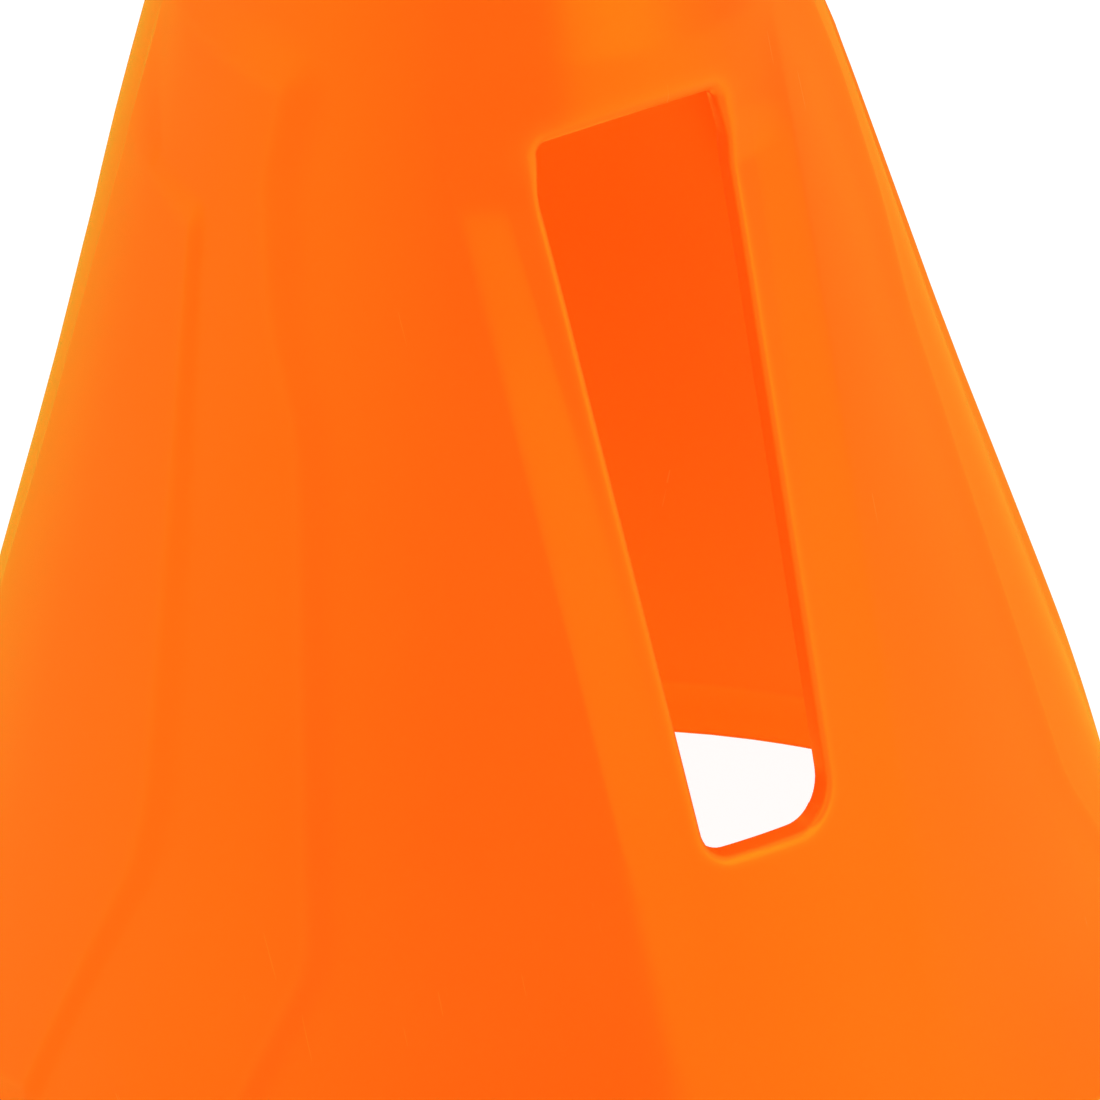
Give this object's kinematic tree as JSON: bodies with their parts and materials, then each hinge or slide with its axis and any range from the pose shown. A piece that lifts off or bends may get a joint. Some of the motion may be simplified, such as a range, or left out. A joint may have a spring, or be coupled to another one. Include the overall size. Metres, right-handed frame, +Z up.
{
  "type": "marker cone",
  "caption": "Small hollow truncated cone of orange plastic, open at top and base, with slots through opposite sides and bare raised panels between them, for marking slalom and drill courses.",
  "frame": {"origin": "centre of the foot, on the ground the cone stands on", "axes": "+Z up along the cone's axis, slots at -Y and +Y, raised panels at -X and +X"},
  "size_m": [0.0746, 0.0746, 0.08],
  "materials": {
    "orange_plastic": "satin moulded plastic"
  },
  "bodies": {
    "root": {"cone_body": "orange_plastic"}
  },
  "joints": []
}
